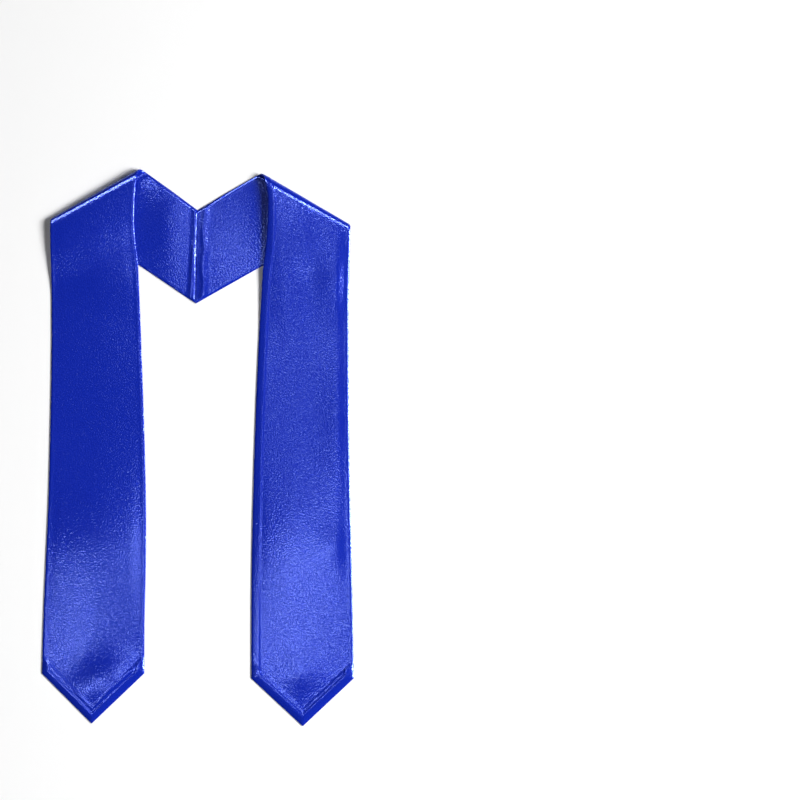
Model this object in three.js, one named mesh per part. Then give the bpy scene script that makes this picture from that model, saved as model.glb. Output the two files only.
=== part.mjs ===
// A satin graduation stole lying flat with its front up. Each half is a strip of two cloth layers. It starts at
// the mitred seam at the centre back, runs outwards as half of the neckband, rolls over at the shoulder and comes
// back over the band as a long panel with a pointed end.
// Millimetres, +Z up. X runs across the stole, and Y from the pointed ends to the neckband.

import * as THREE from "three";

// Cloth
const WALL = 1.0; // one layer of satin
const LAYER_GAP = 0.3; // least space between the two layers of a strip
const EDGE_WALL = 0.45; // wall left at the very edge, where the seam is turned
const TURNED_EDGE = 1.6; // width of the rounded, turned edge
const ALLOWANCE = 10.5; // width of the seam allowance folded in along each edge
const ALLOWANCE_STEP = 3; // width over which the upper layer comes down from the allowance
const ALLOWANCE_RISE = 0.5; // how far the allowance raises the upper layer
const SEAM_GAP = 0.3; // space between the two halves at the centre back
const SEAM_HALF_HEIGHT = 65.6; // half the height of the mitred seam, from its notch to its lower tip
const SEAM_LEAN = 1.4; // how far the notch lies to the right of the seam's middle, and the lower tip to its left

// How the strips rest: levels are heights of the middle between the two layers
const LAYING_GAP = 0.5; // space between the neckband and the panel that lies on it
const STRIP_HALF = WALL + LAYER_GAP / 2;
const GROUND_LEVEL = STRIP_HALF;
const OVER_BAND_LEVEL = 3 * STRIP_HALF + ALLOWANCE_RISE + LAYING_GAP;
const FOLD_OVERRUN = 0.2; // the fold's height goes on changing this far past its ends, as a share of its length
const STEP_MARGIN = 3; // how far past the band's lower edge the panel starts to come down
const STEP_LENGTH = 90; // how far it then takes to reach the ground
const SERIES_TERMS = 10; // terms in the sums that give the shape of the shoulder fold

// Rows along the strip
const BAND_ROWS = 8; // from the seam to the roll
const ROLL_ROWS = 12; // round the shoulder fold, from band to panel
const SHOULDER_ROWS = 5; // from the roll to SHOULDER_REACH
const SHOULDER_REACH = 34; // down to this distance from the fold the rows stay parallel with it
const PANEL_ROWS = 15; // from there to the pointed end
const ROW_CROWDING = 1.3; // above 1, the panel's rows crowd towards the shoulder
const BENDING_START = 0.72; // share of the panel's length where its rows begin to bend to the shape of the point
const POINT_ROWS = [ALLOWANCE + ALLOWANCE_STEP, ALLOWANCE, TURNED_EDGE, 0]; // distances from the pointed end

// Columns across the strip: at fixed distances from the edges, and at shares of the width between those
const EDGE_COLUMNS = [0, TURNED_EDGE, ALLOWANCE, ALLOWANCE + ALLOWANCE_STEP];
const MIDDLE_COLUMNS = [0.17, 0.33, 0.5, 0.67, 0.83];

// Lengths are measured outwards and upwards from the middle of the centre back seam. The inner edge is the one
// next to the neck, and the outer edge ends at the shoulder's corner.
// fold: the two ends of the line on which the cloth turns over. bandMiddle: where the two edges of the band pass
// on the way there. stations: how far out the panel's edges lie at each height y. tip: the point of the panel.
// roll: half the height of the shoulder fold at its two ends. settle: how far past the fold the panel has come
// down.
// swells: soft rises of the panel's face, each with its place, its length up the panel, its width and its rise.
// bandSwells: the same for the neckband's upper layer. loops: where both layers of the band rise under the panel,
// with their rise as a share of the roll.
const HALVES = [
  {
    name: "left_half",
    direction: -1,
    fold: { inner: { x: 81.2, y: 125.4 }, outer: { x: 205.0, y: 54.6 } },
    bandMiddle: { inner: { x: 37.5, y: 94.4 }, outer: { x: 84, y: -9.8 } },
    stations: [
      { y: 126, inner: 81.2, outer: 205.0 },
      { y: 80, inner: 86.2, outer: 205.0 },
      { y: 32, inner: 86.9, outer: 205.2 },
      { y: -10, inner: 82.6, outer: 205.0 },
      { y: -62, inner: 80.4, outer: 204.6 },
      { y: -133, inner: 78.0, outer: 204.6 },
      { y: -240, inner: 74.2, outer: 206.4 },
      { y: -344, inner: 71.7, outer: 209.2 },
      { y: -429, inner: 71.8, outer: 212.8 },
      { y: -510, inner: 73.6, outer: 216.2 },
      { y: -587, inner: 74.2, outer: 218.3 },
    ],
    tip: { x: 148.3, y: -657.6 },
    roll: { inner: 7.8, outer: 4.6 },
    settle: { inner: 130, outer: 90 },
    swells: [
      { x: 145, y: -20, length: 80, width: 50, rise: 1.4 },
      { x: 140, y: -400, length: 90, width: 60, rise: 2.2 },
      { x: 120, y: -590, length: 32, width: 36, rise: 3.6 },
      { x: 150, y: -612, length: 28, width: 40, rise: 3.0 },
    ],
    bandSwells: [{ x: 36, y: 90, length: 100, width: 32, rise: 2.8 }],
    loops: [],
  },
  {
    name: "right_half",
    direction: 1,
    fold: { inner: { x: 93.6, y: 119.1 }, outer: { x: 216.2, y: 46 } },
    bandMiddle: { inner: { x: 42.5, y: 90.4 }, outer: { x: 96, y: -10.6 } },
    stations: [
      { y: 120, inner: 93.6, outer: 216.2 },
      { y: 90, inner: 100.6, outer: 216.3 },
      { y: 70, inner: 101.4, outer: 216.4 },
      { y: 41, inner: 100.1, outer: 216.4 },
      { y: 5, inner: 96.8, outer: 215.8 },
      { y: -13, inner: 93.8, outer: 215.2 },
      { y: -62, inner: 90.5, outer: 214.0 },
      { y: -133, inner: 86.6, outer: 214.0 },
      { y: -240, inner: 82.3, outer: 214.6 },
      { y: -344, inner: 79.2, outer: 216.4 },
      { y: -429, inner: 77.5, outer: 218.4 },
      { y: -510, inner: 76.9, outer: 220.0 },
      { y: -594, inner: 76.8, outer: 221.1 },
    ],
    tip: { x: 149.2, y: -661.4 },
    roll: { inner: 7.8, outer: 4.0 },
    settle: { inner: 190, outer: 100 },
    swells: [
      { x: 150, y: -20, length: 80, width: 50, rise: 1.4 },
      { x: 140, y: -400, length: 90, width: 60, rise: 2.2 },
      { x: 196, y: -35, length: 50, width: 32, rise: 3.0 },
      { x: 208, y: -220, length: 120, width: 28, rise: 1.8 },
      { x: 190, y: -410, length: 28, width: 22, rise: 2.0 },
      { x: 150, y: -585, length: 30, width: 28, rise: 2.0 },
    ],
    bandSwells: [{ x: 12, y: 10, length: 90, width: 50, rise: 1.6 }],
    loops: [{ x: 124, y: 70, length: 80, width: 40, rise: 0.5 }],
  },
];

const FACE_COLOUR = 0x1f2fb8;
const BACKING_COLOUR = 0x2334bd;
const SATIN_ROUGHNESS = 0.38;

const mix = (a, b, share) => a + (b - a) * share;
const mixPoint = (a, b, share) => ({ x: mix(a.x, b.x, share), y: mix(a.y, b.y, share) });
const clamp = (value, low, high) => Math.min(high, Math.max(low, value));
const ease = (share) => clamp(share, 0, 1) ** 2 * (3 - 2 * clamp(share, 0, 1));
const fall = (share) => 1 - ease(share);
const bell = (distance) => Math.exp(-distance * distance);

// Sum of soft rises at a point
function swelling(swells, point) {
  return swells.reduce((total, { x, y, length, width, rise }) => {
    const lengthwise = bell((point.y - y) / length);
    const sideways = bell((point.x - x) / width);
    return total + rise * lengthwise * sideways;
  }, 0);
}

// A spiral that unrolls from straight at 0 to upright at 1: how far it has run, and how high it has climbed
function spiral(share) {
  const sums = { run: 0, climb: 0 };
  let term = share;
  for (let power = 0; power < SERIES_TERMS; power += 1) {
    const sign = power % 4 < 2 ? 1 : -1;
    sums[power % 2 ? "climb" : "run"] += (sign * term) / (2 * power + 1);
    term *= ((Math.PI / 2) * share * share) / (power + 1);
  }
  return sums;
}
const WHOLE_SPIRAL = spiral(1);

// Length of cloth from the outermost line of the shoulder fold to where it lies level
const rollReach = (half, edge) => half.roll[edge] / WHOLE_SPIRAL.climb;

// How far out an edge of the panel lies at a height, on a smooth curve through the stations
function edgeOut(half, edge, y) {
  const stations = half.stations;
  const last = stations.length - 1;
  let index = 0;
  while (index < last - 1 && y < stations[index + 1].y) {
    index += 1;
  }
  const slope = (a, b) => (stations[b][edge] - stations[a][edge]) / (stations[b].y - stations[a].y);
  const here = stations[index];
  const next = stations[index + 1];
  const span = next.y - here.y;
  const share = clamp((y - here.y) / span, 0, 1);
  const startSlope = slope(Math.max(index - 1, 0), index + 1);
  const endSlope = slope(index, Math.min(index + 2, last));
  const eased = ease(share);
  return (
    mix(here[edge], next[edge], eased) +
    span * share * (1 - share) * ((1 - share) * startSlope - share * endSlope)
  );
}

// The fold as a frame: along it from its inner to its outer end, and away from it towards the band and the panel
function foldFrame(half) {
  const { inner, outer } = half.fold;
  const length = Math.hypot(outer.x - inner.x, outer.y - inner.y);
  const along = { x: (outer.x - inner.x) / length, y: (outer.y - inner.y) / length };
  return { along, away: { x: along.y, y: -along.x }, length };
}

// A point's distance from the fold, and its place along it
function measureFromFold(half, frame, point) {
  const dx = point.x - half.fold.inner.x;
  const dy = point.y - half.fold.inner.y;
  return {
    away: dx * frame.away.x + dy * frame.away.y,
    along: dx * frame.along.x + dy * frame.along.y,
  };
}

// The point on an edge of the band at a distance from the fold
function bandEdge(half, frame, edge, away) {
  const middle = half.bandMiddle[edge];
  return mixPoint(half.fold[edge], middle, away / measureFromFold(half, frame, middle).away);
}

// The point on an edge of the panel at a distance from the fold, found in a few steps
function panelEdge(half, frame, edge, away) {
  const start = half.fold[edge];
  const steps = 6;
  let y = start.y;
  for (let step = 0; step < steps; step += 1) {
    const outwards = (edgeOut(half, edge, y) - start.x) * frame.away.x;
    y = start.y + (away - outwards) / frame.away.y;
  }
  return { x: edgeOut(half, edge, y), y };
}

// Rows of the neckband, from the seam to the roll, through the middle of the band
function bandRows(half, frame) {
  const rowAt = (edge, share) => {
    const upwards = edge === "inner" ? 1 : -1;
    const seam = {
      x: SEAM_GAP / 2 + half.direction * upwards * SEAM_LEAN,
      y: upwards * SEAM_HALF_HEIGHT,
    };
    const rollStart = bandEdge(half, frame, edge, rollReach(half, edge));
    return share < 0.5
      ? mixPoint(seam, half.bandMiddle[edge], 2 * share)
      : mixPoint(half.bandMiddle[edge], rollStart, 2 * share - 1);
  };
  const rows = [];
  for (let row = 0; row < BAND_ROWS; row += 1) {
    const share = row / BAND_ROWS;
    rows.push({ inner: rowAt("inner", share), outer: rowAt("outer", share), onBand: true });
  }
  return rows;
}

// Rows round the shoulder fold, in equal steps of cloth
function rollRows(half, frame) {
  const rows = [];
  for (let row = 0; row <= ROLL_ROWS; row += 1) {
    const place = 1 - (2 * row) / ROLL_ROWS;
    const edgePoint = place > 0 ? bandEdge : panelEdge;
    rows.push({
      inner: edgePoint(half, frame, "inner", Math.abs(place) * rollReach(half, "inner")),
      outer: edgePoint(half, frame, "outer", Math.abs(place) * rollReach(half, "outer")),
      onBand: place > 0,
    });
  }
  return rows;
}

// Rows at the top of the panel, which turn from the ends of the roll to a line parallel with the fold
function shoulderRows(half, frame) {
  const awayAt = (edge, share) => mix(rollReach(half, edge), SHOULDER_REACH, share);
  const rows = [];
  for (let row = 1; row <= SHOULDER_ROWS; row += 1) {
    const share = row / SHOULDER_ROWS;
    rows.push({
      inner: panelEdge(half, frame, "inner", awayAt("inner", share)),
      outer: panelEdge(half, frame, "outer", awayAt("outer", share)),
    });
  }
  return rows;
}

// Rows down the panel. They level out, then bend to the shape of the point, and the last ones run parallel to it
function panelRows(half, shoulder) {
  const hem = half.stations[half.stations.length - 1];
  const depth = hem.y - half.tip.y;
  const lean = half.tip.x - (hem.inner + hem.outer) / 2;
  const slant = Math.hypot(1, (2 * depth) / (hem.outer - hem.inner));
  const rowTo = (end, share, bend, toPoint) => {
    const innerY = mix(shoulder.inner.y, end, share);
    const outerY = mix(shoulder.outer.y, end, share);
    return {
      inner: { x: edgeOut(half, "inner", innerY), y: innerY },
      outer: { x: edgeOut(half, "outer", outerY), y: outerY },
      depth: depth * bend,
      lean: lean * bend,
      toPoint,
    };
  };
  const firstPointRow = hem.y + POINT_ROWS[0] * slant;
  const rows = [];
  for (let row = 1; row < PANEL_ROWS; row += 1) {
    const share = (row / PANEL_ROWS) ** (1 / ROW_CROWDING);
    const bend = ease((share - BENDING_START) / (1 - BENDING_START));
    rows.push(rowTo(firstPointRow, share, bend, Infinity));
  }
  for (const toPoint of POINT_ROWS) {
    rows.push(rowTo(hem.y + toPoint * slant, 1, 1, toPoint));
  }
  return rows;
}

// Height of the middle of the strip where it has left the roll and lies as a panel
function panelLevel(half, frame, point, placed) {
  const edge = half.bandMiddle.outer;
  const corner = half.fold.outer;
  const run = corner.x - edge.x;
  const rise = corner.y - edge.y;
  const pastBand = ((point.x - edge.x) * rise - (point.y - edge.y) * run) / Math.hypot(run, rise);
  const rest = mix(GROUND_LEVEL, OVER_BAND_LEVEL, fall((pastBand - STEP_MARGIN) / STEP_LENGTH));
  const settle = mix(half.settle.inner, half.settle.outer, ease(placed.along / frame.length));
  return mix(rest, GROUND_LEVEL + 2 * placed.height, fall((placed.away - placed.reach) / settle));
}

// Place of a point of the strip between its two layers, in space. up is 0 on the band, where the face is below,
// and 1 on the panel, where it is on top.
function placePoint(half, frame, row, point) {
  const placed = measureFromFold(half, frame, point);
  const share = clamp(placed.along / frame.length, -FOLD_OVERRUN, 1 + FOLD_OVERRUN);
  placed.height = mix(half.roll.inner, half.roll.outer, share);
  const risen = row.onBand ? placed.height * swelling(half.loops, point) : 0;
  placed.reach = (placed.height - risen) / WHOLE_SPIRAL.climb;
  const rolledUp = 1 - clamp(placed.away / placed.reach, 0, 1);
  const { run, climb } = spiral(rolledUp);
  const outermost = (risen / WHOLE_SPIRAL.climb) * (1 - WHOLE_SPIRAL.run) * rolledUp ** 2;
  const shift = rolledUp > 0 ? placed.reach * (1 - run) - placed.away + outermost : 0;
  const side = row.onBand ? 1 : -1;
  const lying = row.onBand ? GROUND_LEVEL + risen : panelLevel(half, frame, point, placed);
  const level = lying + side * placed.reach * climb;
  const turn = (Math.PI / 2) * side * (1 - rolledUp ** 2);
  return {
    position: new THREE.Vector3(point.x + frame.away.x * shift, point.y + frame.away.y * shift, level),
    up: (1 - Math.sin(turn)) / 2,
  };
}

// The points of one row, from the outer to the inner edge
function layRow(half, frame, row) {
  const width = Math.hypot(row.inner.x - row.outer.x, row.inner.y - row.outer.y);
  const margin = EDGE_COLUMNS[EDGE_COLUMNS.length - 1];
  const distances = [
    ...EDGE_COLUMNS,
    ...MIDDLE_COLUMNS.map((share) => mix(margin, width - margin, share)),
    ...EDGE_COLUMNS.map((distance) => width - distance).reverse(),
  ];
  return distances.map((distance) => {
    const across = distance / width;
    const point = mixPoint(row.outer, row.inner, across);
    const middleness = 1 - Math.abs(2 * across - 1);
    point.x += (row.lean ?? 0) * middleness;
    point.y -= (row.depth ?? 0) * middleness;
    return {
      ...placePoint(half, frame, row, point),
      swell: { face: swelling(half.swells, point), backing: swelling(half.bandSwells, point) },
      toEdge: Math.min(distance, width - distance, row.toPoint ?? Infinity),
    };
  });
}

// Directions from the backing to the face, from the neighbours of each point
function findNormals(grid) {
  grid.forEach((row, i) => {
    row.forEach((spot, j) => {
      const across = new THREE.Vector3().subVectors(
        row[Math.min(j + 1, row.length - 1)].position,
        row[Math.max(j - 1, 0)].position,
      );
      const down = new THREE.Vector3().subVectors(
        grid[Math.min(i + 1, grid.length - 1)][j].position,
        grid[Math.max(i - 1, 0)][j].position,
      );
      spot.normal = across.cross(down).normalize();
    });
  });
}

// How far the allowance and the soft swells raise a layer from its place
function layerLift(spot, isFace) {
  const uppermost = isFace ? spot.up : 1 - spot.up;
  const inAllowance = ease(spot.toEdge / TURNED_EDGE) * fall((spot.toEdge - ALLOWANCE) / ALLOWANCE_STEP);
  const clearOfEdge = ease((spot.toEdge - TURNED_EDGE) / ALLOWANCE);
  const swell = isFace ? spot.swell.face : spot.swell.backing;
  return uppermost * (ALLOWANCE_RISE * inAllowance + swell * clearOfEdge);
}

// One layer of the strip as a closed wall between two grids of points
function layerGeometry(half, grid, isFace) {
  const side = isFace ? 1 : -1;
  const rowLength = grid[0].length;
  const positions = [];
  const addSurface = (offsetOf) => {
    for (const spot of grid.flat()) {
      const point = spot.position.clone().addScaledVector(spot.normal, side * offsetOf(spot));
      positions.push(half.direction * point.x, point.y, point.z);
    }
  };
  const insideOf = (spot) => LAYER_GAP / 2 + layerLift(spot, isFace);
  const outsideOf = (spot) => insideOf(spot) + mix(EDGE_WALL, WALL, ease(spot.toEdge / TURNED_EDGE));
  addSurface(outsideOf);
  addSurface(insideOf);

  const insideStart = grid.length * rowLength;
  const flipped = side * half.direction < 0;
  const indices = [];
  const addQuad = (a, b, c, d) => {
    const corners = flipped ? [a, c, b, a, d, c] : [a, b, c, a, c, d];
    indices.push(...corners);
  };
  const at = (i, j) => i * rowLength + j;
  const lastRow = grid.length - 1;
  const lastColumn = rowLength - 1;
  for (let i = 0; i < lastRow; i += 1) {
    for (let j = 0; j < lastColumn; j += 1) {
      const corners = [at(i, j), at(i, j + 1), at(i + 1, j + 1), at(i + 1, j)];
      addQuad(...corners);
      addQuad(...corners.map((index) => index + insideStart).reverse());
    }
  }
  const addRim = (a, b) => addQuad(b, a, a + insideStart, b + insideStart);
  for (let i = 0; i < lastRow; i += 1) {
    addRim(at(i + 1, 0), at(i, 0));
    addRim(at(i, lastColumn), at(i + 1, lastColumn));
  }
  for (let j = 0; j < lastColumn; j += 1) {
    addRim(at(0, j), at(0, j + 1));
    addRim(at(lastRow, j + 1), at(lastRow, j));
  }

  const geometry = new THREE.BufferGeometry();
  geometry.setAttribute("position", new THREE.Float32BufferAttribute(positions, 3));
  geometry.setIndex(indices);
  geometry.computeVertexNormals();
  return geometry;
}

function layerMesh(half, grid, isFace) {
  const material = new THREE.MeshStandardMaterial({
    color: isFace ? FACE_COLOUR : BACKING_COLOUR,
    roughness: SATIN_ROUGHNESS,
    metalness: 0,
  });
  const mesh = new THREE.Mesh(layerGeometry(half, grid, isFace), material);
  mesh.name = `${half.name}_${isFace ? "face" : "backing"}`;
  return mesh;
}

function halfStole(half) {
  const frame = foldFrame(half);
  const rows = [...bandRows(half, frame), ...rollRows(half, frame), ...shoulderRows(half, frame)];
  rows.push(...panelRows(half, rows[rows.length - 1]));
  const grid = rows.map((row) => layRow(half, frame, row));
  findNormals(grid);
  const group = new THREE.Group();
  group.add(layerMesh(half, grid, true), layerMesh(half, grid, false));
  return group;
}

// The origin is the middle of the stole's length and width, on the ground
const stole = new THREE.Group();
stole.name = "graduation_stole";
for (const half of HALVES) {
  stole.add(halfStole(half));
}
const box = new THREE.Box3().setFromObject(stole);
const centre = box.getCenter(new THREE.Vector3());
stole.position.set(-centre.x, -centre.y, -box.min.z);

export default stole;
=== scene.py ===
"""A royal blue satin graduation stole, lying flat with its front up, seen from straight above.

Each half is a strip of two satin layers. It starts at the mitred seam at the centre back, runs outwards as
half of the neckband, rolls over at the shoulder and comes back over the band as a long panel with a pointed
end. Lengths are in metres.
"""
import math

import bpy
import numpy as np
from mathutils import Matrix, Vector


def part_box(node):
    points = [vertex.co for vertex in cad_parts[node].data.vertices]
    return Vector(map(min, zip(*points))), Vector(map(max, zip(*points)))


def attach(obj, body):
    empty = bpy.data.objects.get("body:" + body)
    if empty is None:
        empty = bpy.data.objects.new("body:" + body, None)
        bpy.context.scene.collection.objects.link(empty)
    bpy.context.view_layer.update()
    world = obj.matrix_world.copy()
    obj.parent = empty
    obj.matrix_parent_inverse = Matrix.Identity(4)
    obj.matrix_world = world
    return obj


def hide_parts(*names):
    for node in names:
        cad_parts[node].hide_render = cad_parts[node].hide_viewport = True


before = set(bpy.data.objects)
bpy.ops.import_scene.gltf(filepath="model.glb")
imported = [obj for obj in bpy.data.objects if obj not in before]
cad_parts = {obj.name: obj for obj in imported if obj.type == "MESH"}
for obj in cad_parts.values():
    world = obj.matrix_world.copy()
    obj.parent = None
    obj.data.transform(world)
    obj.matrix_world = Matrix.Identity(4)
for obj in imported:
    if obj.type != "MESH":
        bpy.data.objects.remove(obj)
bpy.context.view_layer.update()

# Cloth, as in the solids
WALL = 0.001  # one layer of satin
LAYER_GAP = 0.0003  # least space between the two layers of a strip
EDGE_WALL = 0.00045  # wall left at the very edge, where the seam is turned
ROUNDING = 0.0026  # the wall has its full thickness this far from the edge
SEAM_GAP = 0.0003  # space between the two halves at the centre back
SEAM_HALF_HEIGHT = 0.0656  # half the height of the mitred seam
SEAM_LEAN = 0.0014  # how far the seam's top lies to the right of its middle, and its lower tip to the left

# How the strips rest: levels are heights of the middle between the two layers
STRIP_HALF = WALL + LAYER_GAP / 2
GROUND_LEVEL = STRIP_HALF
LAYING_GAP = 0.0005  # space between the neckband and the panel that lies on it
ALLOWANCE_RISE = 0.0005  # how far the folded-in allowance raises the band's upper layer
OVER_BAND_LEVEL = 3 * STRIP_HALF + ALLOWANCE_RISE + LAYING_GAP
FOLD_OVERRUN = 0.2  # the fold's height goes on changing this far past its ends, as a share of its length
STEP_MARGIN = 0.003  # how far past the band's lower edge the panel starts to come down
STEP_LENGTH = 0.09  # how far it then takes to reach the ground
SHOULDER_REACH = 0.034  # down to this distance from the fold the rows stay parallel with it
BENDING_START = 0.72  # share of the panel's length where its rows begin to bend to the shape of the point
SERIES_TERMS = 5  # terms in the sums that give the shape of the shoulder fold
EDGE_FINDING_STEPS = 6  # steps in which a point on the panel's edge is found

# The folded-in allowance: the upper layer climbs a rounded bevel from the turned edge to a ridge, and drops
# behind it. Both have their own size along each edge, and change over between those.
RIDGE_HEIGHT = 0.0013
RIDGE_STEP = 0.0028  # width over which the layer drops behind the ridge
RIDGE_DROP = 0.4  # share of the ridge's height by which it drops
BEVEL_ROUNDING = 1.2  # above 1, the bevel starts flatter
CHANGEOVER_START = 0.4  # share of the width where the outer edge's values start to change to the inner edge's
CHANGEOVER_LENGTH = 0.2  # share of the width over which they do
POINT_MARGIN = 0.023  # the point's values hold up to this distance from the pointed end
POINT_FADE = 0.03  # length over which they change to the edges'
CLEAR_OF_EDGE = (0.004, 0.022)  # a soft swell has its full height this far from an edge: band, panel

# Rows along the strip and columns across it
BAND_ROWS = 130
BAND_CROWDING = 1.6
ROLL_ROWS = 48
SHOULDER_ROWS = 40
PANEL_ROWS = 170
PANEL_CROWDING = 1.3
MM_IN_METRE = 1000
EDGE_COLUMNS_MM = [
    0, 0.3, 0.7, 1.2, 1.8, 2.6, 3.6, 5, 6.5, 8, 9.4, 10.4, 11.2, 12, 12.8, 13.8, 15, 16.5
]
EDGE_COLUMNS = np.array(EDGE_COLUMNS_MM) / MM_IN_METRE
MIDDLE_COLUMNS = 35

# Lengths are measured outwards and upwards from the middle of the centre back seam. The inner edge is the
# one next to the neck, and the outer edge ends at the shoulder's corner.
# fold: the ends of the line on which the cloth turns over. band_middle: where the two edges of the band pass
# on the way there. stations: how far out the panel's edges lie at each height y. tip: the panel's point.
# roll: half the height of the shoulder fold at its ends. settle: how far past the fold the panel has come
# down. ridges: height of the ridge along each edge, as a share of RIDGE_HEIGHT. bevels: width of the bevel
# beside it. swells: soft rises of the panel's face. band_swells: the same for the band's upper layer.
# loops: where both layers of the band rise under the panel, with their rise as a share of the roll.
# seam_ridges: distance of a crest from the seam at its top and bottom, its width towards the seam (near) and
# away from it (far), and its rise. It fades out above "from", a share of the seam's half height, and waves.
HALVES = [
    {
        "name": "left_half",
        "direction": -1,
        "fold": {"inner": (0.0812, 0.1254), "outer": (0.205, 0.0546)},
        "band_middle": {"inner": (0.0375, 0.0944), "outer": (0.084, -0.0098)},
        "stations": {
            "y": [0.126, 0.08, 0.032, -0.01, -0.062, -0.133, -0.24, -0.344, -0.429, -0.51, -0.587],
            "inner": [
                0.0812, 0.0862, 0.0869, 0.0826, 0.0804, 0.078, 0.0742, 0.0717, 0.0718, 0.0736, 0.0742
            ],
            "outer": [
                0.205, 0.205, 0.2052, 0.205, 0.2046, 0.2046, 0.2064, 0.2092, 0.2128, 0.2162, 0.2183
            ],
        },
        "tip": (0.1483, -0.6576),
        "roll": {"inner": 0.0078, "outer": 0.0046},
        "settle": {"inner": 0.13, "outer": 0.09},
        "ridges": {"inner": 0.25, "outer": 0.15, "point": 1.4, "band": 0.12},
        "bevels": {"inner": 0.0045, "outer": 0.003, "point": 0.0095, "band": 0.003},
        "swells": [
            {"out": 0.145, "up": -0.02, "length": 0.08, "width": 0.05, "rise": 0.0014},
            {"out": 0.14, "up": -0.40, "length": 0.09, "width": 0.06, "rise": 0.0022},
            {"out": 0.120, "up": -0.590, "length": 0.032, "width": 0.036, "rise": 0.0036},
            {"out": 0.150, "up": -0.612, "length": 0.028, "width": 0.040, "rise": 0.0020},
        ],
        "band_swells": [
            {"out": 0.036, "up": 0.09, "length": 0.1, "width": 0.032, "rise": 0.0028},
        ],
        "loops": [],
        "seam_ridges": [
            {
                "top": 0.0036, "bottom": 0.0046, "near": 0.0026, "far": 0.0040, "rise": 0.0013,
                "from": 1, "wave": 0,
            },
            {
                "top": 0.0030, "bottom": 0.0092, "near": 0.0020, "far": 0.0030, "rise": 0.0007,
                "from": 0.1, "wave": 0,
            },
        ],
    },
    {
        "name": "right_half",
        "direction": 1,
        "fold": {"inner": (0.0936, 0.1191), "outer": (0.2162, 0.046)},
        "band_middle": {"inner": (0.0425, 0.0904), "outer": (0.096, -0.0106)},
        "stations": {
            "y": [
                0.12, 0.09, 0.07, 0.041, 0.005, -0.013, -0.062, -0.133, -0.24, -0.344, -0.429, -0.51, -0.594
            ],
            "inner": [
                0.0936, 0.1006, 0.1014, 0.1001, 0.0968, 0.0938, 0.0905, 0.0866, 0.0823, 0.0792, 0.0775,
                0.0769, 0.0768,
            ],
            "outer": [
                0.2162, 0.2163, 0.2164, 0.2164, 0.2158, 0.2152, 0.214, 0.214, 0.2146, 0.2164, 0.2184,
                0.22, 0.2211,
            ],
        },
        "tip": (0.1492, -0.6614),
        "roll": {"inner": 0.0078, "outer": 0.004},
        "settle": {"inner": 0.19, "outer": 0.1},
        "ridges": {"inner": 0.9, "outer": 0.3, "point": 1.6, "band": 0.12},
        "bevels": {"inner": 0.0105, "outer": 0.0045, "point": 0.0115, "band": 0.003},
        "swells": [
            {"out": 0.15, "up": -0.02, "length": 0.08, "width": 0.05, "rise": 0.0014},
            {"out": 0.14, "up": -0.40, "length": 0.09, "width": 0.06, "rise": 0.0022},
            {"out": 0.200, "up": -0.037, "length": 0.046, "width": 0.032, "rise": 0.0034},
            {"out": 0.208, "up": -0.22, "length": 0.12, "width": 0.028, "rise": 0.0018},
            {"out": 0.126, "up": -0.06, "length": 0.05, "width": 0.016, "rise": 0.0009},
            {"out": 0.190, "up": -0.410, "length": 0.028, "width": 0.022, "rise": 0.0012},
            {"out": 0.150, "up": -0.585, "length": 0.030, "width": 0.028, "rise": 0.0020},
        ],
        "band_swells": [
            {"out": 0.012, "up": 0.01, "length": 0.09, "width": 0.05, "rise": 0.0016},
        ],
        "loops": [
            {"out": 0.124, "up": 0.070, "length": 0.080, "width": 0.040, "rise": 0.5},
        ],
        "seam_ridges": [
            {
                "top": 0.0090, "bottom": 0.0095, "near": 0.0042, "far": 0.0060, "rise": 0.0013,
                "from": 1, "wave": 0.0010,
            },
        ],
    },
]
WAVE_LENGTH = 0.05  # of the waving crests
SEAM_RIDGE_FADE = 0.3  # share of the seam's half height over which a crest fades out


def mix(a, b, share):
    return a + (b - a) * share


def ease(share):
    share = np.clip(share, 0, 1)
    return share * share * (3 - 2 * share)


def fall(share):
    return 1 - ease(share)


def bell(distance):
    return np.exp(-distance * distance)


def spiral(share):
    """How far a spiral has run and how high it has climbed, from straight at 0 to upright at 1."""
    run = climb = 0
    for term in range(SERIES_TERMS):
        even, odd = 2 * term, 2 * term + 1
        run_power, climb_power = 4 * term + 1, 4 * term + 3
        sign = (-1) ** term
        run = run + sign * (math.pi / 2) ** even * share**run_power / run_power / math.factorial(even)
        climb = climb + sign * (math.pi / 2) ** odd * share**climb_power / climb_power / math.factorial(odd)
    return run, climb


SPIRAL_RUN, SPIRAL_CLIMB = spiral(1.0)


def roll_reach(half, edge):
    """Length of cloth from the outermost line of the shoulder fold to where it lies level."""
    return half["roll"][edge] / SPIRAL_CLIMB


def edge_out(half, edge, y):
    """How far out an edge of the panel lies at heights y, on a smooth curve through the stations."""
    stations = np.array(half["stations"]["y"])
    outs = np.array(half["stations"][edge])
    last = len(stations) - 1
    y = np.asarray(y, float)
    index = np.clip(np.searchsorted(-stations, -y, side="right") - 1, 0, last - 1)
    before = np.maximum(index - 1, 0)
    after = np.minimum(index + 2, last)
    start_slope = (outs[index + 1] - outs[before]) / (stations[index + 1] - stations[before])
    end_slope = (outs[after] - outs[index]) / (stations[after] - stations[index])
    span = stations[index + 1] - stations[index]
    share = np.clip((y - stations[index]) / span, 0, 1)
    bow = span * share * (1 - share) * ((1 - share) * start_slope - share * end_slope)
    return mix(outs[index], outs[index + 1], ease(share)) + bow


def fold_frame(half):
    """Directions along the fold and away from it, and its length."""
    inner = np.array(half["fold"]["inner"])
    run = np.array(half["fold"]["outer"]) - inner
    length = np.hypot(*run)
    along = run / length
    return {"origin": inner, "along": along, "away": np.array([along[1], -along[0]]), "length": length}


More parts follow.
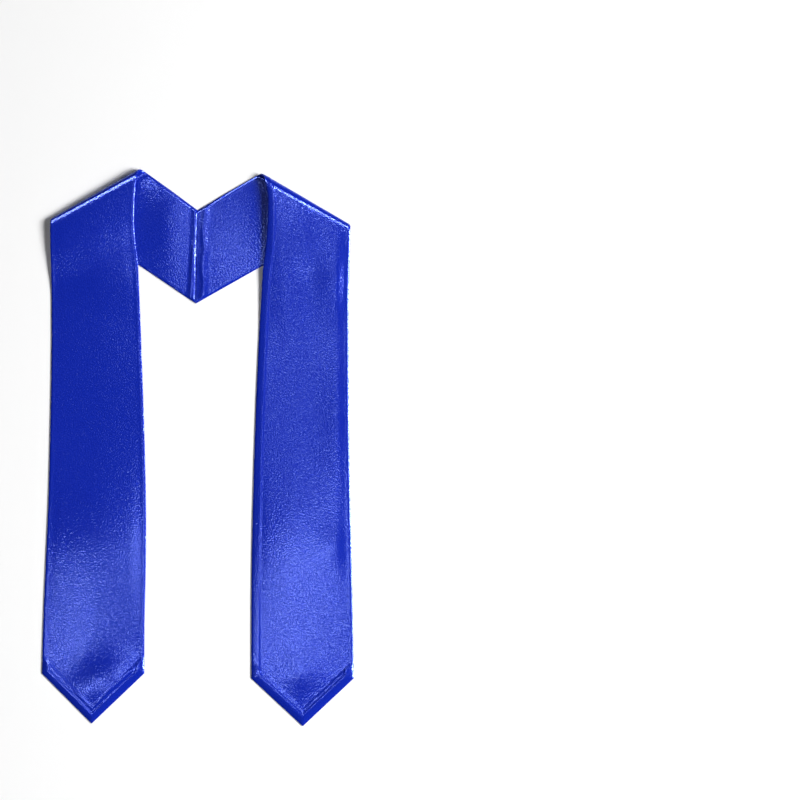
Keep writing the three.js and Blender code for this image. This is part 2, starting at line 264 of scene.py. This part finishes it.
def band_edge(half, frm, edge, away):
    """Points on an edge of the band at distances from the fold."""
    start = np.array(half["fold"][edge])
    middle = np.array(half["band_middle"][edge])
    reach = (middle - frm["origin"]) @ frm["away"]
    return start + (middle - start) * (np.asarray(away) / reach)[..., None]


def panel_edge(half, frm, edge, away):
    """Points on an edge of the panel at distances from the fold, found in a few steps."""
    start = half["fold"][edge]
    y = np.full(np.shape(away), start[1], float)
    for _ in range(EDGE_FINDING_STEPS):
        outwards = (edge_out(half, edge, y) - start[0]) * frm["away"][0]
        y = start[1] + (away - outwards) / frm["away"][1]
    return np.stack([edge_out(half, edge, y), y], -1)


def make_rows(inner, outer, on_band=False, bend=0.0, to_point=np.inf):
    """Rows of the flat pattern, each from its outer to its inner end."""
    count = len(inner)
    return {
        "inner": inner,
        "outer": outer,
        "on_band": np.full(count, on_band),
        "bend": np.broadcast_to(bend, count).astype(float),
        "to_point": np.broadcast_to(to_point, count).astype(float),
    }


def band_rows(half, frm):
    share = (np.arange(BAND_ROWS) / BAND_ROWS) ** BAND_CROWDING
    ends = {}
    for edge, upwards in (("inner", 1), ("outer", -1)):
        out = SEAM_GAP / 2 + half["direction"] * upwards * SEAM_LEAN
        seam = np.array([out, upwards * SEAM_HALF_HEIGHT])
        middle = np.array(half["band_middle"][edge])
        roll_start = band_edge(half, frm, edge, roll_reach(half, edge))
        near = mix(seam, middle, (2 * share)[:, None])
        far = mix(middle, roll_start, (2 * share - 1)[:, None])
        ends[edge] = np.where((share < 0.5)[:, None], near, far)
    return make_rows(ends["inner"], ends["outer"], on_band=True)


def roll_rows(half, frm):
    parts = []
    places = 1 - 2 * np.arange(ROLL_ROWS + 1) / ROLL_ROWS
    for on_band, find, chosen in ((True, band_edge, places > 0), (False, panel_edge, places <= 0)):
        share = np.abs(places[chosen])
        inner = find(half, frm, "inner", share * roll_reach(half, "inner"))
        outer = find(half, frm, "outer", share * roll_reach(half, "outer"))
        parts.append(make_rows(inner, outer, on_band=on_band))
    return parts


def shoulder_rows(half, frm):
    share = np.arange(1, SHOULDER_ROWS + 1) / SHOULDER_ROWS
    ends = [
        panel_edge(half, frm, edge, mix(roll_reach(half, edge), SHOULDER_REACH, share))
        for edge in ("inner", "outer")
    ]
    return make_rows(*ends)


def panel_rows(half, shoulder):
    hem = [half["stations"][key][-1] for key in ("y", "inner", "outer")]
    depth = hem[0] - half["tip"][1]
    slant = math.hypot(1, 2 * depth / (hem[2] - hem[1]))
    to_point = EDGE_COLUMNS[::-1]
    share = (np.arange(1, PANEL_ROWS) / PANEL_ROWS) ** (1 / PANEL_CROWDING)
    bend = ease((share - BENDING_START) / (1 - BENDING_START))
    parts = []
    for end, shares, bends, edge_distance in (
        (hem[0] + to_point[0] * slant, share, bend, np.inf),
        (hem[0] + to_point * slant, 1.0, 1.0, to_point),
    ):
        ends = []
        for edge in ("inner", "outer"):
            y = mix(shoulder[edge][-1][1], end, shares)
            ends.append(np.stack([edge_out(half, edge, y), y], -1))
        parts.append(make_rows(*ends, bend=bends, to_point=edge_distance))
    return parts


def pattern_rows(half, frm):
    """All the rows of one half, from the seam to the pointed end."""
    shoulder = shoulder_rows(half, frm)
    parts = [band_rows(half, frm), *roll_rows(half, frm), shoulder, *panel_rows(half, shoulder)]
    return {key: np.concatenate([part[key] for part in parts]) for key in shoulder}


def panel_level(half, frm, point, past_roll, along, height):
    """Height of the middle of the strip where it has left the roll and lies as a panel."""
    edge = np.array(half["band_middle"]["outer"])
    run, rise = np.array(half["fold"]["outer"]) - edge
    offset = point - edge
    past_band = (offset[..., 0] * rise - offset[..., 1] * run) / math.hypot(run, rise)
    rest = mix(GROUND_LEVEL, OVER_BAND_LEVEL, fall((past_band - STEP_MARGIN) / STEP_LENGTH))
    settle = mix(half["settle"]["inner"], half["settle"]["outer"], ease(along / frm["length"]))
    return mix(rest, GROUND_LEVEL + 2 * height, fall(past_roll / settle))


def lay_strip(half):
    """The middle of the strip as a grid of points in space, with what each point knows about its place."""
    frm = fold_frame(half)
    rows = pattern_rows(half, frm)
    width = np.hypot(*(rows["inner"] - rows["outer"]).T)[:, None]
    margin = EDGE_COLUMNS[-1]
    middle = np.arange(1, MIDDLE_COLUMNS + 1) / (MIDDLE_COLUMNS + 1)
    from_outer = np.concatenate(
        [
            np.broadcast_to(EDGE_COLUMNS, (len(width), len(EDGE_COLUMNS))),
            mix(margin, width - margin, middle),
            width - EDGE_COLUMNS[::-1],
        ],
        1,
    )
    across = from_outer / width
    point = mix(rows["outer"][:, None], rows["inner"][:, None], across[..., None])
    hem = [half["stations"][key][-1] for key in ("y", "inner", "outer")]
    middleness = (1 - np.abs(2 * across - 1)) * rows["bend"][:, None]
    point[..., 0] += (half["tip"][0] - (hem[1] + hem[2]) / 2) * middleness
    point[..., 1] -= (hem[0] - half["tip"][1]) * middleness

    offset = point - frm["origin"]
    away = offset @ frm["away"]
    along = offset @ frm["along"]
    share = np.clip(along / frm["length"], -FOLD_OVERRUN, 1 + FOLD_OVERRUN)
    height = mix(half["roll"]["inner"], half["roll"]["outer"], share)
    on_band = rows["on_band"][:, None]
    risen = height * on_band * swelling(half["loops"], {"out": point[..., 0], "height": point[..., 1]})
    reach = (height - risen) / SPIRAL_CLIMB
    rolled_up = 1 - np.clip(away / reach, 0, 1)
    run, climb = spiral(rolled_up)
    # A roll that starts on a risen band is smaller, and this keeps its outermost line on that of the fold
    outermost = risen / SPIRAL_CLIMB * (1 - SPIRAL_RUN) * rolled_up**2
    shift = np.where(away < reach, reach * (1 - run) - away + outermost, 0)
    panel = panel_level(half, frm, point, away - reach, along, height)
    lying = np.where(on_band, GROUND_LEVEL + risen, panel)
    level = lying + np.where(on_band, 1, -1) * reach * climb
    place = np.concatenate([point + frm["away"] * shift[..., None], level[..., None]], -1)
    upright = np.where(on_band, 1, -1) * (1 - rolled_up**2)

    steps = np.linalg.norm(np.diff(place[:, place.shape[1] // 2], axis=0), axis=1)
    return {
        "place": place,
        "up": (1 - np.sin(math.pi / 2 * upright)) / 2,
        "across": across,
        "from_outer": from_outer,
        "run": np.concatenate([[0], np.cumsum(steps)])[:, None] + np.zeros_like(across),
        "out": point[..., 0],
        "height": point[..., 1],
        "on_band": on_band & np.ones_like(across, bool),
        "to_point": rows["to_point"][:, None] + np.zeros_like(across),
        "to_edge": np.minimum(np.minimum(from_outer, width - from_outer), rows["to_point"][:, None]),
    }


def grid_normals(place):
    """Directions from the backing to the face."""
    across = np.empty_like(place)
    across[:, 1:-1] = place[:, 2:] - place[:, :-2]
    across[:, 0] = place[:, 1] - place[:, 0]
    across[:, -1] = place[:, -1] - place[:, -2]
    down = np.empty_like(place)
    down[1:-1] = place[2:] - place[:-2]
    down[0] = place[1] - place[0]
    down[-1] = place[-1] - place[-2]
    normal = np.cross(across, down)
    return normal / np.linalg.norm(normal, axis=-1, keepdims=True)


def by_edge(values, grid):
    """A value for each point from those of the edges of the panel, its point and the band."""
    inwards = ease((grid["across"] - CHANGEOVER_START) / CHANGEOVER_LENGTH)
    sides = mix(values["outer"], values["inner"], inwards)
    panel = mix(values["point"], sides, ease((grid["to_point"] - POINT_MARGIN) / POINT_FADE))
    return np.where(grid["on_band"], values["band"], panel)


def allowance_profile(half, grid):
    """Height of the upper layer over the folded-in allowance, and further in."""
    bevel = by_edge(half["bevels"], grid)
    climb = np.sin(np.clip(grid["to_edge"] / bevel, 0, 1) * math.pi / 2) ** BEVEL_ROUNDING
    drop = RIDGE_DROP * ease((grid["to_edge"] - bevel) / RIDGE_STEP)
    return RIDGE_HEIGHT * by_edge(half["ridges"], grid) * (climb - drop)


def swelling(swells, grid):
    """Sum of soft rises, each with its own place and size."""
    total = 0
    for swell in swells:
        lengthwise = bell((grid["height"] - swell["up"]) / swell["length"])
        sideways = bell((grid["out"] - swell["out"]) / swell["width"])
        total = total + swell["rise"] * lengthwise * sideways
    return total


def seam_relief(half, grid):
    """Ridges beside the centre back seam."""
    upwards = np.clip(grid["height"] / SEAM_HALF_HEIGHT, -1, 1)
    from_seam = grid["out"] - half["direction"] * upwards * SEAM_LEAN
    total = 0
    for ridge in half["seam_ridges"]:
        crest = mix(ridge["bottom"], ridge["top"], (upwards + 1) / 2)
        crest = crest + ridge["wave"] * np.sin(2 * math.pi * grid["height"] / WAVE_LENGTH)
        offset = from_seam - crest
        width = np.where(offset < 0, ridge["near"], ridge["far"])
        fading = fall((upwards - ridge["from"]) / SEAM_RIDGE_FADE) if ridge["from"] < 1 else 1
        total = total + ridge["rise"] * bell(offset / width) * fading
    return total


def layer_lift(half, grid, is_face):
    """How far a layer is raised from its place by the allowance and the soft swells."""
    uppermost = grid["up"] if is_face else 1 - grid["up"]
    clear_of_edge = ease(grid["to_edge"] / np.where(grid["on_band"], *CLEAR_OF_EDGE))
    if is_face:
        swell = swelling(half["swells"], grid)
    else:
        swell = swelling(half["band_swells"], grid) + seam_relief(half, grid)
    return uppermost * (allowance_profile(half, grid) + swell * clear_of_edge)


def shell_mesh(name, outside, inside, flipped, uv):
    """A closed mesh between two grids of points."""
    rows, columns = outside.shape[:2]
    count = rows * columns
    index = np.arange(count).reshape(rows, columns)
    quads = np.stack([index[:-1, :-1], index[:-1, 1:], index[1:, 1:], index[1:, :-1]], -1).reshape(-1, 4)
    rim = np.concatenate([index[0, :-1], index[:-1, -1], index[-1, :0:-1], index[:0:-1, 0]])
    after = np.roll(rim, -1)
    wall = np.stack([after, rim, rim + count, after + count], -1)
    faces = np.concatenate([quads, quads[:, ::-1] + count, wall])
    if flipped:
        faces = faces[:, ::-1]
    mesh = bpy.data.meshes.new(name)
    mesh.vertices.add(2 * count)
    mesh.vertices.foreach_set("co", np.concatenate([outside, inside]).reshape(-1).astype(np.float32))
    mesh.loops.add(faces.size)
    mesh.loops.foreach_set("vertex_index", faces.reshape(-1).astype(np.int32))
    mesh.polygons.add(len(faces))
    mesh.polygons.foreach_set("loop_start", np.arange(0, faces.size, 4, dtype=np.int32))
    mesh.polygons.foreach_set("use_smooth", np.ones(len(faces), bool))
    mesh.update(calc_edges=True)
    uv_layer = mesh.uv_layers.new(name="cloth")
    both = np.concatenate([uv, uv])
    uv_layer.data.foreach_set("uv", both[faces.reshape(-1)].reshape(-1).astype(np.float32))
    mesh.validate()
    return mesh


def seam_centre():
    """Where the middle of the centre back seam lies in the row's frame, from the box of the solids."""
    left_low, left_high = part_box("left_half_face")
    right_low, right_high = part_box("right_half_face")
    tip = min(half["tip"][1] for half in HALVES)
    widest = [half["stations"]["outer"][-1] for half in HALVES]
    return (left_low[0] + widest[0] + right_high[0] - widest[1]) / 2, min(left_low[1], right_low[1]) - tip


def cloth_layer(half, grid, is_face, material):
    side = 1 if is_face else -1
    normal = grid_normals(grid["place"])
    near = LAYER_GAP / 2 + layer_lift(half, grid, is_face)
    rounded = np.sin(np.clip(grid["to_edge"] / ROUNDING, 0, 1) * math.pi / 2)
    far = near + mix(EDGE_WALL, WALL, rounded)
    centre = seam_centre()

    def surface(offset):
        points = grid["place"] + normal * (side * offset)[..., None]
        points[..., 0] = half["direction"] * points[..., 0] + centre[0]
        points[..., 1] += centre[1]
        return points

    uv = np.stack([grid["from_outer"], grid["run"]], -1).reshape(-1, 2)
    name = f"{half['name']}_{'face' if is_face else 'backing'}"
    mesh = shell_mesh(f"{name}_satin", surface(far), surface(near), side * half["direction"] < 0, uv)
    mesh.materials.append(material)
    piece = bpy.data.objects.new(f"{name}_satin", mesh)
    bpy.context.collection.objects.link(piece)
    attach(piece, "root")
    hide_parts(name)


# Materials: the grain is two noises, with their depth in metres. The finer one also varies the colour, the
# gloss and the roughness from thread to thread. The ranges are the values of the noise over which they vary.
SATIN_BLUE = (0.0065, 0.024, 0.47)
GRAINS = [
    {"name": "slubs", "scale": 440, "detail": 0.5, "depth": 0.00019},
    {"name": "threads", "scale": 700, "detail": 0.0, "depth": 0.00002},
]
COLOUR_SPREAD = 0.2
COLOUR_RANGE = (0.3, 0.7)
GLOSS = (0.0, 1.3)
GLOSS_RANGE = (0.35, 0.65)
ROUGHNESS = (0.12, 0.17)
METALLIC = 0.25
GLOSS_TINT = (0.77, 1, 0.77, 1)
ANISOTROPY = 0.35


def satin(name):
    """Royal blue satin with a fine, sparkling grain that follows the strip."""
    material = bpy.data.materials.new(name)
    material.use_nodes = True
    nodes = material.node_tree.nodes
    links = material.node_tree.links
    shader = nodes["Principled BSDF"]
    shader.inputs["Metallic"].default_value = METALLIC
    shader.inputs["Specular Tint"].default_value = GLOSS_TINT
    shader.inputs["Anisotropic"].default_value = ANISOTROPY

    coordinates = nodes.new("ShaderNodeUVMap")
    coordinates.uv_map = "cloth"
    normal = None
    for grain in GRAINS:
        noise = nodes.new("ShaderNodeTexNoise")
        noise.label = grain["name"]
        noise.noise_dimensions = "2D"
        noise.inputs["Scale"].default_value = grain["scale"]
        noise.inputs["Detail"].default_value = grain["detail"]
        links.new(coordinates.outputs["UV"], noise.inputs["Vector"])
        bump = nodes.new("ShaderNodeBump")
        bump.inputs["Strength"].default_value = 1
        bump.inputs["Distance"].default_value = grain["depth"]
        links.new(noise.outputs["Fac"], bump.inputs["Height"])
        if normal:
            links.new(normal, bump.inputs["Normal"])
        normal = bump.outputs["Normal"]
    links.new(normal, shader.inputs["Normal"])

    colour = nodes.new("ShaderNodeValToRGB")
    low, high = colour.color_ramp.elements
    low.position, high.position = COLOUR_RANGE
    low.color = [c * (1 - COLOUR_SPREAD) for c in SATIN_BLUE] + [1]
    high.color = [c * (1 + COLOUR_SPREAD) for c in SATIN_BLUE] + [1]
    links.new(noise.outputs["Fac"], colour.inputs["Fac"])
    links.new(colour.outputs["Color"], shader.inputs["Base Color"])

    gloss = nodes.new("ShaderNodeMapRange")
    gloss.inputs["From Min"].default_value = GLOSS_RANGE[0]
    gloss.inputs["From Max"].default_value = GLOSS_RANGE[1]
    gloss.inputs["To Min"].default_value = GLOSS[0]
    gloss.inputs["To Max"].default_value = GLOSS[1]
    links.new(noise.outputs["Fac"], gloss.inputs["Value"])
    links.new(gloss.outputs["Result"], shader.inputs["Specular IOR Level"])

    rough = nodes.new("ShaderNodeMapRange")
    rough.inputs["To Min"].default_value = ROUGHNESS[0]
    rough.inputs["To Max"].default_value = ROUGHNESS[1]
    links.new(noise.outputs["Fac"], rough.inputs["Value"])
    links.new(rough.outputs["Result"], shader.inputs["Roughness"])

    tangent = nodes.new("ShaderNodeTangent")
    tangent.direction_type = "UV_MAP"
    tangent.uv_map = "cloth"
    links.new(tangent.outputs["Tangent"], shader.inputs["Tangent"])
    return material


# Stage: the photograph's frame, seen from straight above
PHOTO_PIXELS = 800
MM_PER_PIXEL = 1.41
FRAME_WIDTH = PHOTO_PIXELS * MM_PER_PIXEL / MM_IN_METRE
CAMERA_AT = (0.2848, 0.0678)
CAMERA_HEIGHT = 2.6
SENSOR_WIDTH = 36
FLOOR_WIDTH = 8.0
FLOOR_COLOUR = (0.92, 0.92, 0.92, 1)
FLOOR_ROUGHNESS = 0.9
FLOOR_GLOSS = 0.1

# Area lights, each aimed at TARGET: their place, size and power. A glint only shows in gloss, and doesn't
# light the floor. The flat cloth mirrors the lights over it as its soft light patches.
TARGET = (0.0, 0.0, 0.0)
LIGHTS = [
    {"name": "right_key", "at": (4.71, -0.412, 3.694), "size": 2.4, "power": 610, "glint": False},
    {"name": "left_fold_glint", "at": (-1.35, 1.85, 2.6), "size": 1.3, "power": 78, "glint": True},
    {"name": "right_fold_glint", "at": (0.8, 1.2, 2.6), "size": 0.7, "power": 38, "glint": True},
    {"name": "over_blob", "at": (-0.02, 0.48, 2.6), "size": 0.3, "power": 1.7, "glint": False},
    {"name": "over_right", "at": (0.05, 0.1, 2.6), "size": 0.4, "power": 0.6, "glint": False},
    {"name": "over_right_middle", "at": (0.1, -0.4, 2.6), "size": 0.3, "power": 1.4, "glint": False},
    {"name": "over_right_low", "at": (-0.1, -0.6, 2.6), "size": 0.3, "power": 2.1, "glint": False},
    {"name": "over_right_end", "at": (0.3, -0.5, 2.6), "size": 0.3, "power": 1.1, "glint": False},
    {"name": "over_left_end", "at": (-0.8, -0.8, 2.6), "size": 0.3, "power": 3.9, "glint": False},
]


def make_floor():
    mesh = bpy.data.meshes.new("floor")
    reach = FLOOR_WIDTH / 2
    corners = [(-reach, -reach, 0), (reach, -reach, 0), (reach, reach, 0), (-reach, reach, 0)]
    mesh.from_pydata(corners, [], [(0, 1, 2, 3)])
    material = bpy.data.materials.new("pale_floor")
    material.use_nodes = True
    shader = material.node_tree.nodes["Principled BSDF"]
    shader.inputs["Base Color"].default_value = FLOOR_COLOUR
    shader.inputs["Roughness"].default_value = FLOOR_ROUGHNESS
    shader.inputs["Specular IOR Level"].default_value = FLOOR_GLOSS
    mesh.materials.append(material)
    floor = bpy.data.objects.new("floor", mesh)
    bpy.context.collection.objects.link(floor)


def make_camera():
    data = bpy.data.cameras.new("camera")
    data.sensor_width = SENSOR_WIDTH
    data.lens = SENSOR_WIDTH * CAMERA_HEIGHT / FRAME_WIDTH
    camera = bpy.data.objects.new("camera", data)
    camera.location = (*CAMERA_AT, CAMERA_HEIGHT)
    bpy.context.collection.objects.link(camera)
    bpy.context.scene.camera = camera


def make_lights():
    for light in LIGHTS:
        data = bpy.data.lights.new(light["name"], "AREA")
        data.size = light["size"]
        data.energy = light["power"]
        lamp = bpy.data.objects.new(light["name"], data)
        lamp.location = light["at"]
        lamp.rotation_mode = "QUATERNION"
        lamp.rotation_quaternion = (Vector(TARGET) - Vector(light["at"])).to_track_quat("-Z", "Y")
        lamp.visible_diffuse = not light["glint"]
        bpy.context.collection.objects.link(lamp)
    world = bpy.data.worlds.new("studio")
    world.use_nodes = True
    world.node_tree.nodes["Background"].inputs["Strength"].default_value = 0
    bpy.context.scene.world = world
    bpy.context.scene.view_settings.view_transform = "Standard"


make_floor()
face_satin = satin("face_satin")
backing_satin = satin("backing_satin")
for half in HALVES:
    grid = lay_strip(half)
    cloth_layer(half, grid, False, backing_satin)
    cloth_layer(half, grid, True, face_satin)
make_camera()
make_lights()
